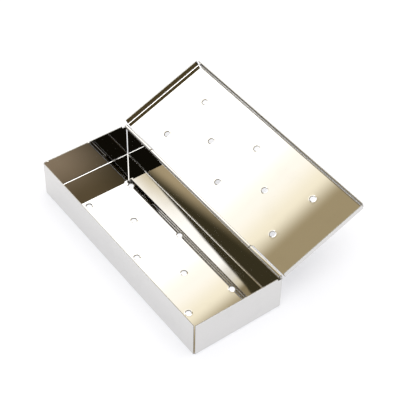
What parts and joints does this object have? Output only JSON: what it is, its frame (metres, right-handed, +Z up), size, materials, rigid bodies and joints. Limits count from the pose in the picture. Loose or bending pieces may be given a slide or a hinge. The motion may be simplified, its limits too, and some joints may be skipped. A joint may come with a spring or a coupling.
{
  "type": "smoker box",
  "caption": "Long shallow sheet-metal smoker box with a perforated floor, open-seam corners and a perforated flanged lid on a rolled wire-pin hinge.",
  "frame": {"origin": "on the underside of the tray's floor, under its middle", "axes": "+X along the hinge and the box's length, +Y towards the hinged back wall, +Z up out of the tray"},
  "size_m": [0.2372, 0.1772, 0.0764],
  "materials": {
    "tray_sheet": "bright annealed thin stainless sheet, almost mirror bright, with faint rolling grain along its length",
    "lid_sheet": "bright annealed thin stainless sheet, almost mirror bright, with faint rolling grain along its length",
    "hinge_wire": "drawn stainless wire, satin"
  },
  "bodies": {
    "tray": {"tray": "tray_sheet", "hinge_pin": "hinge_wire"},
    "lid": {"lid": "lid_sheet"}
  },
  "joints": [
    {"name": "lid_hinge", "type": "hinge", "parent": "tray", "child": "lid", "pos_m": [0, 0.0443, 0.0371], "axis": [1, 0, 0], "range_deg": [0, 158]}
  ]
}
